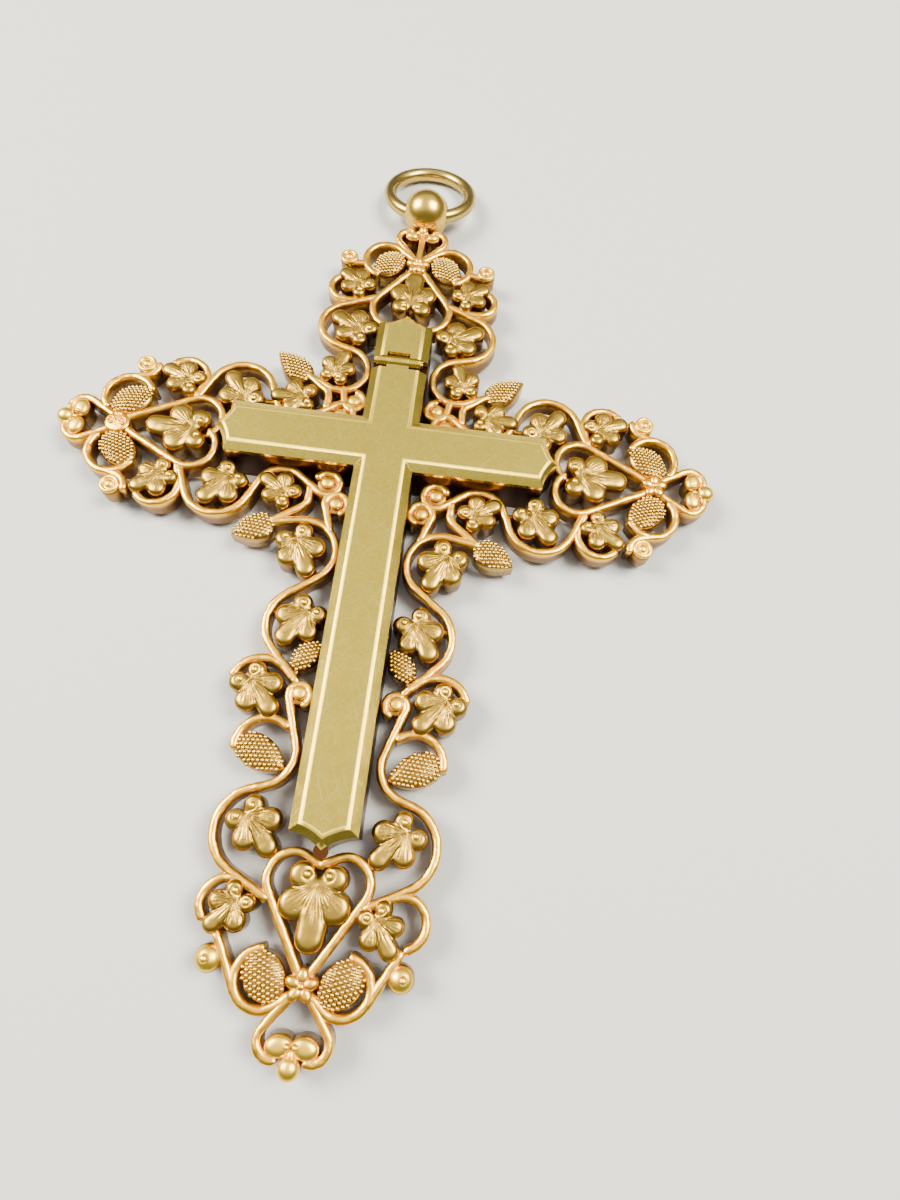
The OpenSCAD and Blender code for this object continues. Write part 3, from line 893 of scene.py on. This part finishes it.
@dataclass
class VineLeaves:
    """The five-lobed leaves and the broad leaves inside the hearts."""

    material: bpy.types.Material
    bead_material: bpy.types.Material
    rim: float = 3.55
    top: float = 4.15
    edge: float = 0.75
    blend: float = 5.0
    crown: float = 0.1
    crown_reach: float = 1.3
    crease_depth: float = 0.13
    crease_width: float = 0.2
    crease_fade: tuple = (1.1, 1.4)
    hollow: float = 0.1
    groove_depth: float = 0.07
    groove_gap: float = 0.06
    groove_width: float = 0.13
    vein_depth: float = 0.06
    vein_width: float = 0.08
    stray: float = 0.09
    bead_height: float = 4.1
    arms_from: float = 11.5
    stalk: float = -0.8
    rays: int = 200
    rings: int = 24
    seed: int = 7
    narrow: LeafPattern = LeafPattern(
        lobes=((0.35, 0, 1.5), (1.5, 0, 1.15), (2.45, 0, 1.15), (3.35, 0, 1.28),
               (0.75, 1.05, 1.1), (1.15, 1.75, 1.32), (0.75, -1.05, 1.1), (1.15, -1.75, 1.32),
               (-1.3, 1.28, 1.17), (-1.3, -1.28, 1.17)),
        eyes=((-1.35, 1.0, 0.42), (-1.35, -1.0, 0.42)),
        veins=((0, 4.0), (46, 2.9), (-46, 2.9), (20, 3.0), (-20, 3.0), (75, 1.8), (-75, 1.8)))
    broad: LeafPattern = LeafPattern(
        lobes=((0.35, 0, 1.85), (1.7, 0, 1.35), (2.9, 0, 1.35), (4.0, 0, 1.43),
               (0.8, 1.2, 1.25), (1.2, 2.0, 1.56), (0.8, -1.2, 1.25), (1.2, -2.0, 1.56),
               (-1.45, 1.6, 1.32), (-1.45, -1.6, 1.32)),
        eyes=((-1.6, 1.05, 0.42), (-1.6, -1.05, 0.42)),
        veins=((2.5, 4.4), (-2.5, 4.4), (40, 1.9), (-40, 1.9)))
    half: tuple = (
        (-28.05, -7.2, 218, 0.85), (-27.85, 7.55, 153, 0.85), (-19.6, -6.7, 231, 0.95),
        (-20.1, 6.1, 127, 0.95), (-12.3, -7.4, 144, 0.8), (-12.7, 6.95, 181, 0.85),
        (-9.1, -14.3, -63, 1), (-6.75, -23.45, 236, 0.95), (-10.8, -32.2, -47.5, 0.95),
        (-8.05, -46.9, -47, 0.95), (-7.85, 27.3, 140.5, 0.8),
        (-6.85, 19.3, 149, 0.95), (-8.65, 11.9, 75, 0.8))
    foot: tuple = ((-8.25, -55.1, 230, 0.8), (6.8, -55.5, -60, 0.8))
    hearts: tuple = ((-26.2, 0.1, 180, 1), (26.2, 0.1, 0, 1), (0, -53.2, -90, 1.08),
                     (0, 25.6, 90, 0.95))

    def reach(self, lobes: list, angle: float) -> float:
        """Gives how far a leaf's outline is from its stalk in one direction."""
        far = 0.5
        for x, y, radius in lobes:
            along = (x - self.stalk) * math.cos(angle) + y * math.sin(angle)
            off = (x - self.stalk) * math.sin(angle) - y * math.cos(angle)
            if abs(off) < radius:
                far = max(far, along + math.sqrt(radius * radius - off * off))
        return far

    def height(self, lobes: list, x: float, y: float) -> float:
        """Gives the height of a leaf's top, whose pads are flat inside their soft edges."""
        near = sum(math.exp(self.blend * (radius - math.hypot(x - at_x, y - at_y)))
                   for at_x, at_y, radius in lobes)
        depth = max(0.0, math.log(near) / self.blend)
        share = 1 - min(1.0, depth / self.edge)
        return (self.rim + (self.top - self.rim) * math.sqrt(1 - share * share)
                + self.crown * min(self.crown_reach, depth) - self.crease(lobes, x, y))

    def crease(self, lobes: list, x: float, y: float) -> float:
        """Gives how deep the crease between two parts of a leaf is, which fades at the stalk."""
        inside = {}
        for part, (at_x, at_y, radius) in zip(self.narrow.parts, lobes):
            near = radius - math.hypot(x - at_x, y - at_y)
            inside[part] = max(inside.get(part, near), near)
        second, first = sorted(inside.values())[-2:]
        start, over = self.crease_fade
        fade = min(1.0, max(0.0, math.hypot(x - self.stalk, y) - start) / over)
        return self.crease_depth * fade * math.exp(-((first - second) / self.crease_width) ** 2)

    def blank(self, pattern: LeafPattern, chance: random.Random) -> BMesh:
        """Makes one leaf of size 1 of a ball, spread to the leaf's outline.

        Args:
            pattern: Its lobes.
            chance: Gives the small differences of handwork.

        Returns:
            The leaf.
        """
        lobes = [(x + chance.uniform(-self.stray, self.stray),
                  y + chance.uniform(-self.stray, self.stray),
                  radius * chance.uniform(0.96, 1.05)) for x, y, radius in pattern.lobes]
        shape = bmesh.new()
        bmesh.ops.create_uvsphere(shape, u_segments=self.rays, v_segments=2 * self.rings,
                                  radius=1.0)
        wall = -1.5 * math.pi / (2 * self.rings)
        near = math.tau / self.rays
        for vert in shape.verts:
            x, y, up = vert.co
            angle = math.atan2(y, x)
            far = (self.reach(lobes, angle - near) + 2 * self.reach(lobes, angle)
                   + self.reach(lobes, angle + near)) / 4
            share = 1.0 if wall < up < 0 else math.hypot(x, y)
            x, y = self.stalk + far * share * math.cos(angle), far * share * math.sin(angle)
            vert.co = Vector((x, y, BACK_Z if up < UNDERSIDE else self.height(lobes, x, y)))
        under = [f for f in shape.faces if all(v.co.z < BACK_Z + 0.01 for v in f.verts)]
        bmesh.ops.dissolve_faces(shape, faces=under, use_verts=False)
        self.carve(shape, pattern, chance)
        return shape

    def carve(self, shape: BMesh, pattern: LeafPattern, chance: random.Random) -> None:
        """Presses the veins, the hollow at the stalk and the beads' grooves into a leaf.

        Args:
            shape: The leaf.
            pattern: Its eyes and veins.
            chance: Gives the small differences of handwork.
        """
        veins = [(math.radians(turn + chance.uniform(-4, 4)), length)
                 for turn, length in pattern.veins]
        for vert in shape.verts:
            if vert.co.z < self.rim - 0.2:
                continue
            x, y = vert.co.x - self.stalk, vert.co.y
            depth = self.hollow * math.exp(-(x * x + y * y) / 0.5)
            for eye_x, eye_y, radius in pattern.eyes:
                reach = math.hypot(vert.co.x - eye_x, vert.co.y - eye_y)
                ring = reach - radius - self.groove_gap
                depth += self.groove_depth * math.exp(-(ring / self.groove_width) ** 2)
            for turn, length in veins:
                along = x * math.cos(turn) + y * math.sin(turn)
                off = abs(y * math.cos(turn) - x * math.sin(turn))
                if 0 < along < length:
                    fade = min(1.0, along / 0.3) * min(1.0, 1.6 * (1 - along / length))
                    depth += self.vein_depth * fade * math.exp(-(off / self.vein_width) ** 2)
            vert.co.z -= depth

    def map_leaf(self, shape: BMesh) -> None:
        """Gives a leaf of size 1 its map, a tenth of its own plan."""
        layer = shape.loops.layers.uv.new("leaf")
        for face in shape.faces:
            for loop in face.loops:
                loop[layer].uv = (loop.vert.co.x / 10, loop.vert.co.y / 10)

    def make(self) -> None:
        """Makes all the leaves, and the beads in their curls."""
        chance = random.Random(self.seed)
        narrow = [self.blank(self.narrow, chance) for _ in range(3)]
        broad = self.blank(self.broad, chance)
        for shape in (*narrow, broad):
            self.map_leaf(shape)
        groups = {"arm_leaves": bmesh.new(), "stem_leaves": bmesh.new(),
                  "heart_leaves": bmesh.new()}
        beads = bmesh.new()
        for i, row in enumerate(self.half):
            name = "arm_leaves" if row[0] < -self.arms_from else "stem_leaves"
            self.add(groups[name], beads, narrow[i % 3], self.narrow, placed(*row))
        for shape in (groups["arm_leaves"], groups["stem_leaves"], beads):
            mirrored(shape, 0)
        for i, row in enumerate(self.foot):
            self.add(groups["stem_leaves"], beads, narrow[i], self.narrow, placed(*row))
        for row in self.hearts:
            self.add(groups["heart_leaves"], beads, broad, self.broad, placed(*row))
        for name, shape in groups.items():
            finish_piece(shape, name, self.material, Body.CROSS, "vine_frame")
        finish_piece(beads, "leaf_beads", self.bead_material, Body.CROSS)
        for shape in (*narrow, broad):
            shape.free()

    def add(self, leaves: BMesh, beads: BMesh, blank: BMesh, pattern: LeafPattern,
            place: Matrix) -> None:
        """Adds one leaf and its two beads.

        Args:
            leaves: Takes the leaf.
            beads: Takes the beads.
            blank: The leaf of size 1.
            pattern: Says where its beads are.
            place: Where the leaf goes.
        """
        join(leaves, blank, place)
        for x, y, radius in pattern.eyes:
            spot = place @ Vector((x, y, self.bead_height))
            bmesh.ops.create_uvsphere(
                beads, u_segments=16, v_segments=10, radius=radius,
                matrix=Matrix.Translation(spot) @ Matrix.Diagonal((1, 1, 0.85, 1)))


@dataclass
class GrapeClusters:
    """The oval grape clusters, with rows of small grapes.

    A row of half is a cluster's place, direction, half length, half width and taper. The sizes of
    the grapes and the distance of their rows are shares of the pitch.
    """

    material: bpy.types.Material
    rim: float = 3.1
    top: float = 3.98
    pitch: float = 0.5
    skin_drop: float = 0.12
    row_pitch: float = 0.88
    grain_radius: float = 0.52
    grain_shape: tuple = (0.9, 1.0, 0.78)
    grain_rise: float = 0.4
    half: tuple = (
        (-34.2, -3.9, -45, 2.75, 2.1, 0), (-34.3, 3.6, 38, 2.8, 2, 0),
        (-3.9, -61.4, -50, 2.6, 2.1, 0), (-4.15, 32.1, 45, 2.6, 1.95, 0),
        (-8.5, -39.8, -25, 3.1, 1.85, 0.25), (-5.55, -28.05, 50, 2.15, 1.5, 0),
        (-15.1, -12.7, 205, 2.75, 1.75, 0.35), (-14.5, 12.2, 143, 3.1, 1.7, 0.35))

    def spot(self, row: tuple, along: float, aside: float) -> Vector:
        """Gives a point of a cluster's skin.

        Args:
            row: The cluster's place, direction, half length, half width and taper.
            along: How far it is along the half length, from -1 to 1.
            aside: How far it is across the cluster there, from -1 to 1.

        Returns:
            The point, in the cluster's own directions.
        """
        length, width, taper = row[3:]
        narrow = (1 - along * along) ** (0.5 + (taper if along > 0 else 0))
        up = math.sqrt(max(0.0, (1 - along * along) * (1 - aside * aside)))
        return Vector((along * length, aside * width * narrow * (1 - taper * along),
                       self.rim + (self.top - self.rim) * up ** 0.8))

    def cluster(self, row: tuple) -> BMesh:
        """Makes one cluster: a smooth pad with straight sides, and small grapes in rows.

        Args:
            row: Its place, direction, half length, half width and taper.

        Returns:
            The cluster.
        """
        x, y, turn, length, width, taper = row
        shape = bmesh.new()
        heights = {}
        bmesh.ops.create_uvsphere(shape, u_segments=40, v_segments=24, radius=1.0)
        for vert in shape.verts:
            along, aside, up = vert.co.z, vert.co.x, vert.co.y
            reach = max(1e-6, math.hypot(aside, up))
            share = aside / reach
            if up < UNDERSIDE and abs(share) > 0.3:
                share = math.copysign(1.0, share)
            vert.co = self.spot(row, min(1.0, max(-1.0, along)), share)
            vert.co.z = BACK_Z if up < UNDERSIDE else vert.co.z - self.skin_drop
        bmesh.ops.remove_doubles(shape, verts=shape.verts, dist=WELD)
        rows = round(2 * length / (self.row_pitch * self.pitch))
        for i in range(rows):
            along = (2 * i + 1) / rows - 1
            half = self.spot(row, along, 1.0).y
            first = -self.pitch * math.floor((half - 0.1) / self.pitch + i % 2 / 2)
            first += self.pitch * (i % 2) / 2
            for j in range(round(-2 * first / self.pitch) + 1):
                place = self.spot(row, along, (first + j * self.pitch) / half)
                made = bmesh.ops.create_uvsphere(
                    shape, u_segments=8, v_segments=6, radius=self.grain_radius * self.pitch,
                    matrix=Matrix.Translation(place) @ Matrix.Diagonal((*self.grain_shape, 1)))
                for vert in made["verts"]:
                    heights[vert] = (vert.co.z - place.z) / (self.grain_rise * self.pitch)
        # The map grape holds each grape's height, which the grape gold turns into painted shade
        # between the grapes.
        layer = shape.loops.layers.uv.new("grape")
        for face in shape.faces:
            for loop in face.loops:
                loop[layer].uv = (max(0.0, heights.get(loop.vert, 0.0)), 0.0)
        bmesh.ops.transform(shape, matrix=placed(x, y, turn), verts=shape.verts)
        bmesh.ops.recalc_face_normals(shape, faces=shape.faces)
        return shape

    def make(self) -> None:
        """Makes all the clusters as one piece."""
        shape = bmesh.new()
        for row in self.half:
            cluster = self.cluster(row)
            join(shape, cluster)
            cluster.free()
        mirrored(shape, 0)
        finish_piece(shape, "grape_clusters", self.material, Body.CROSS,
                     "vine_frame")


@dataclass
class Ornaments:
    """The knobs, spiral buttons, end buds and rosettes."""

    material: bpy.types.Material
    smooth_material: bpy.types.Material
    ringed_knobs: tuple = ((-33.7, -9.25), (-33.7, 9.25), (-10.05, 32.2))
    ball_knobs: tuple = ((-9.75, -60.3),)
    buttons: tuple = ((-7, -5.2), (-7, 5.2), (-5.4, -8.05), (-5.55, 7.6), (-5.5, -32.6))
    rosettes: tuple = ((35.1, 0), (0, 32.1), (0, -61.8))
    petals: int = 5
    petal_ring: float = 0.92
    ring_detail: tuple = (12, 32)
    palmette_at: tuple = (-35.1, 0)
    end_buds: tuple = (((-40.2, 1.35), 100, 1.3, (-40.3, 0.45)),
                       ((-40.2, -1.35), -100, 1.3, (-40.3, -0.45)),
                       ((-1.3, -67.1), 190, 1.42, (-0.42, -67)),
                       ((-1.5, 37.7), 170, 1.0, (-0.6, 37.8)))

    def ringed_knob(self, shape: BMesh, place: tuple) -> None:
        """Adds a knob with a thick ring on top and a button in it."""
        domed_post(shape, place, (1.32, 1.32), turn=0, rim=3.0, top=3.6, detail=28, fullness=4)
        round_ring(shape, (*place, 3.6), radius=1.0, wire=0.3, detail=self.ring_detail)
        domed_post(shape, place, (0.6, 0.6), turn=0, rim=3.6, top=4.0, detail=20, fullness=2.6)

    def ball_knob(self, shape: BMesh, place: tuple) -> None:
        """Adds a domed knob with a ball in it."""
        domed_post(shape, place, (1.4, 1.4), turn=0, rim=3.0, top=4.0, detail=32, fullness=2)
        bmesh.ops.create_uvsphere(shape, u_segments=22, v_segments=14, radius=0.5,
                                  matrix=Matrix.Translation((place[0] - 0.2, place[1], 3.95)))

    def button(self, shape: BMesh, place: tuple) -> None:
        """Adds a domed button inside a spiral's coil."""
        domed_post(shape, place, (1.3, 1.3), turn=0, rim=3.0, top=3.15, detail=24)
        domed_post(shape, place, (0.82, 0.82), turn=0, rim=3.4, top=3.75, detail=24, fullness=3)

    def rosette(self, shape: BMesh, place: tuple) -> None:
        """Adds a small flower of five petals round a button."""
        for i in range(self.petals):
            angle = math.radians(90 + i * 360 / self.petals)
            spot = (place[0] + self.petal_ring * math.cos(angle),
                    place[1] + self.petal_ring * math.sin(angle))
            domed_post(shape, spot, (0.82, 0.64), math.degrees(angle), rim=3.7, top=4.12,
                       detail=20, fullness=2.8)
        domed_post(shape, place, (0.42, 0.42), turn=0, rim=3.9, top=4.22, detail=18)

    def palmette(self, shape: BMesh, place: tuple, turn: float) -> None:
        """Adds a rounded pad with two curls on it and a ribbed band beside them.

        Args:
            shape: The shape that it is added to.
            place: Its middle.
            turn: The direction from its middle to one of the curls, in degrees.
        """
        spot = placed(*place, turn)
        pad = spot @ Vector((0, 0.3, 0))
        domed_post(shape, (pad.x, pad.y), (1.6, 1.45), turn, rim=3.75, top=4.0, detail=32,
                   fullness=4)
        for along in (-0.72, 0.72):
            curl = spot @ Vector((along, 0.2, 0))
            round_ring(shape, (curl.x, curl.y, 4.0), radius=0.46, wire=0.17,
                       detail=self.ring_detail)
            domed_post(shape, (curl.x, curl.y), (0.26, 0.26), turn=0, rim=3.9, top=4.15,
                       detail=14)
        for along in (-0.36, 0.0, 0.36):
            rib = spot @ Vector((along, -0.85, 0))
            domed_post(shape, (rib.x, rib.y), (0.2, 0.6), turn, rim=3.8, top=4.15, detail=14)

    def end_bud(self, shape: BMesh, place: tuple, turn: float, size: float,
                bead: tuple) -> None:
        """Adds one curled lobe of an end bud, with a bead on its inner end.

        Args:
            shape: The shape that it is added to.
            place: The lobe's middle.
            turn: The direction of its length, in degrees.
            size: Its half length.
            bead: The bead's place.
        """
        domed_post(shape, place, (size, size * 0.76), turn, rim=3.4, top=4.05, detail=28,
                   fullness=3.2)
        bmesh.ops.create_uvsphere(shape, u_segments=14, v_segments=8, radius=0.36,
                                  matrix=Matrix.Translation((*bead, 4.05)))

    def make(self) -> None:
        """Makes the ornaments as three pieces."""
        knobs, buds = bmesh.new(), bmesh.new()
        for place in self.ringed_knobs:
            self.ringed_knob(knobs, place)
        for place in self.ball_knobs:
            self.ball_knob(knobs, place)
        for place in self.buttons:
            self.button(knobs, place)
        for lobe in self.end_buds:
            self.end_bud(buds, *lobe)
        domed_post(buds, (-41.95, 0), (1.1, 1.1), turn=0, rim=3.4, top=4.2, detail=24)
        mirrored(knobs, 0)
        mirrored(buds, 0)
        domed_post(buds, (0, -68.9), (1.15, 1.15), turn=0, rim=3.4, top=4.25, detail=28)
        domed_post(buds, (0, -67.9), (0.5, 0.9), turn=0, rim=3.3, top=3.75, detail=20)
        domed_post(buds, (0, 38.9), (0.7, 0.7), turn=0, rim=3.4, top=4.1, detail=20)
        flowers = bmesh.new()
        for place in self.rosettes:
            self.rosette(flowers, place)
        self.palmette(flowers, self.palmette_at, turn=180)
        finish_piece(knobs, "spiral_knobs", self.smooth_material, Body.CROSS,
                     "vine_frame")
        finish_piece(buds, "end_buds", self.smooth_material, Body.CROSS,
                     "vine_frame")
        finish_piece(flowers, "rosettes", self.material, Body.CROSS, "vine_frame")


@dataclass
class CaseAndLid:
    """The case, the lid and the pin, with softened edges.

    A crest is an edge between the flat face and a bevel. It is worn rounder than the other edges.
    """

    material: bpy.types.Material
    frame: dict
    weld: float = 0.002
    flat_angle: float = 1.5
    crest_angle: float = 20.0
    crest_from: float = 6.3
    bevel_up: float = 0.6
    flat_up: float = 0.98
    crest_width: float = 0.24
    edge_angle: float = 35.0
    sharp_angle: float = 24.0

    def soften(self, node: str, width: float, body: Body) -> None:
        """Makes a node's copy with rounded edges.

        Args:
            node: The part's node.
            width: How wide the rounding is.
            body: The body that it rides on.
        """
        shape = bmesh.new()
        shape.from_mesh(self.frame["nodes"][node].data)
        bmesh.ops.scale(shape, vec=(1 / MM, 1 / MM, 1 / MM), verts=shape.verts)
        bmesh.ops.remove_doubles(shape, verts=shape.verts, dist=self.weld)
        bmesh.ops.dissolve_limit(shape, angle_limit=math.radians(self.flat_angle),
                                 verts=shape.verts, edges=shape.edges)
        crests = [e for e in shape.edges if e.is_manifold
                  and e.calc_face_angle(0) > math.radians(self.crest_angle)
                  and min(f.normal.z for f in e.link_faces) > self.bevel_up
                  and max(f.normal.z for f in e.link_faces) > self.flat_up
                  and e.verts[0].co.z > self.crest_from]
        layer = shape.loops.layers.uv.new("crest")
        for face in round_edges(shape, crests, self.crest_width, segments=6):
            for loop in face.loops:
                loop[layer].uv = (1.0, 0.0)
        edges = [e for e in shape.edges if e.is_manifold
                 and e.calc_face_angle(0) > math.radians(self.edge_angle)]
        round_edges(shape, edges, width, segments=3)
        piece = finish_piece(shape, f"{node}_body", self.material, body, node)
        piece.data.set_sharp_from_angle(angle=math.radians(self.sharp_angle))
        even = piece.modifiers.new("flat_faces", "WEIGHTED_NORMAL")
        even.mode, even.weight, even.keep_sharp = "FACE_AREA", 90, True

    def make(self) -> None:
        """Makes the case, the lid and the pin."""
        for node, width, body in (("case", 0.06, Body.CROSS), ("lid", 0.1, Body.LID),
                                  ("hinge_pin", 0.04, Body.CROSS)):
            self.soften(node, width, body)


@dataclass
class BallAndRing:
    """The hollow ball on the top loop and the ring through it."""

    ball_material: bpy.types.Material
    ring_material: bpy.types.Material
    ball_y: float = 42.6
    ball_z: float = 3.45
    ball_r: float = 3.4
    shell: float = 0.5
    hole_r: float = 1.28
    lip: float = 0.12
    ring_r: float = 6.2
    wire_r: float = 0.95
    ring_set: float = 0.75

    def ball(self) -> None:
        """Turns the ball's section about the line through its side holes."""
        shape = bmesh.new()
        inner = self.ball_r - self.shell
        start = math.asin(self.hole_r / self.ball_r)
        ends = math.asin(self.hole_r / inner)
        outline = [(self.ball_r, start + (math.pi - 2 * start) * i / 40) for i in range(41)]
        outline += [(inner, math.pi - ends - (math.pi - 2 * ends) * i / 30) for i in range(31)]
        loop = draw_loop(shape, [(r * math.cos(a), r * math.sin(a), 0) for r, a in outline])
        turn_round(shape, loop, (0, 0, 0), (1, 0, 0), steps=72)
        bmesh.ops.recalc_face_normals(shape, faces=shape.faces)
        lips = [e for e in shape.edges if e.calc_face_angle(0) > math.radians(40)]
        round_edges(shape, lips, self.lip, segments=3)
        bmesh.ops.translate(shape, verts=shape.verts, vec=(0, self.ball_y, self.ball_z))
        finish_piece(shape, "hanging_ball", self.ball_material, Body.CROSS,
                     "vine_frame")

    def ring(self) -> None:
        """Makes the ring through the ball and lays it down on the floor."""
        shape = bmesh.new()
        round_ring(shape, (0, 0, 0), self.ring_r, self.wire_r, detail=(28, 128))
        bmesh.ops.recalc_face_normals(shape, faces=shape.faces)
        far = 2 * self.ring_r - self.ring_set
        tilt = math.asin((self.ball_z - self.wire_r - 0.03) / far)
        bmesh.ops.transform(
            shape, verts=shape.verts,
            matrix=Matrix.Translation((0, self.ball_y, self.ball_z))
            @ Matrix.Rotation(-tilt, 4, "X")
            @ Matrix.Translation((0, self.ring_r - self.ring_set, 0)))
        finish_piece(shape, "ring_wire", self.ring_material, Body.RING,
                     "hanging_ring")

    def make(self) -> None:
        """Makes the ball and the ring."""
        self.ball()
        self.ring()


@dataclass
class Studio:
    """The camera, the lights and the floor."""

    camera_at: tuple = (9.051, -49.630, 83.714)
    right: tuple = (0.9927, 0.1073, 0.0558)
    down: tuple = (0.1201, -0.9286, -0.3511)
    forward: tuple = (0.0142, 0.3552, -0.9347)
    focal_px: float = 709.4
    frame_px: float = 1200.0
    sensor: float = 36.0
    room_colour: tuple = (1.0, 0.99, 0.97, 1.0)
    room_light: float = 0.22
    floor_reach: float = 1.5
    lamps: tuple = (
        ((-0.67, 0.15, 0.71), 0.62, 0.27, 12.0, (1.0, 0.90, 0.72)),
        ((0.50, 0.12, 0.86), 0.62, 0.27, 10.5, (1.0, 0.90, 0.72)),
        ((-0.05, 0.20, 0.97), 1.0, 1.6, 7.4, (1.0, 0.98, 0.95)))

    def camera(self) -> None:
        """Sets the camera at the photograph's angle."""
        data = bpy.data.cameras.new("camera")
        data.sensor_width = self.sensor
        data.lens = self.focal_px * self.sensor / self.frame_px
        data.clip_start, data.clip_end = 0.005, 10.0
        camera = bpy.data.objects.new("camera", data)
        turn = Matrix((Vector(self.right), -Vector(self.down), -Vector(self.forward))).transposed()
        camera.rotation_mode = "QUATERNION"
        camera.rotation_quaternion = turn.to_quaternion()
        camera.location = Vector(self.camera_at) * MM
        bpy.context.scene.collection.objects.link(camera)
        bpy.context.scene.camera = camera

    def lamp(self, number: int, way: tuple, distance: float, size: float, power: float,
             colour: tuple) -> None:
        """Adds a soft square lamp that faces the cross.

        Args:
            number: The lamp's number.
            way: The direction to it.
            distance: How far off it is, in metres.
            size: Its side in metres.
            power: Its power in watts.
            colour: Its colour.
        """
        data = bpy.data.lights.new(f"lamp_{number}", "AREA")
        data.shape, data.size, data.energy, data.color = "SQUARE", size, power, colour
        lamp = bpy.data.objects.new(f"lamp_{number}", data)
        way = Vector(way).normalized()
        lamp.location = way * distance + Vector((0, -0.01, 0))
        lamp.rotation_mode = "QUATERNION"
        lamp.rotation_quaternion = way.to_track_quat("Z", "Y")
        bpy.context.scene.collection.objects.link(lamp)

    def floor(self) -> None:
        """Lays the plain pale floor under the cross."""
        shape = bmesh.new()
        bmesh.ops.create_grid(shape, x_segments=1, y_segments=1, size=self.floor_reach)
        mesh = bpy.data.meshes.new("floor")
        shape.to_mesh(mesh)
        shape.free()
        mesh.materials.append(FloorFinish().make())
        floor = bpy.data.objects.new("floor", mesh)
        bpy.context.scene.collection.objects.link(floor)

    def world(self) -> None:
        """Gives the room a soft, even light."""
        world = bpy.data.worlds.new("room")
        world.use_nodes = True
        background = world.node_tree.nodes["Background"]
        background.inputs["Color"].default_value = self.room_colour
        background.inputs["Strength"].default_value = self.room_light
        bpy.context.scene.world = world

    def make(self) -> None:
        """Makes the camera, the lamps, the floor and the room's light."""
        self.camera()
        for number, lamp in enumerate(self.lamps):
            self.lamp(number, *lamp)
        self.floor()
        self.world()


def main() -> None:
    """Dresses the part."""
    logging.basicConfig(level=logging.INFO, format="%(message)s")
    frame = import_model()
    Studio().make()
    ball, ring, bud = BALL_GOLD.make(), SHADED_RING_GOLD.make(), BUD_GOLD.make()
    scroll = ScrollGold().make()
    CaseAndLid(SatinGold().make(), frame).make()
    BallAndRing(ball, ring).make()
    ScrollWork(scroll).make()
    VineLeaves(LeafGold().make(), bud).make()
    GrapeClusters(GrapeGold().make()).make()
    Ornaments(scroll, bud).make()


if __name__ == "__main__":
    main()
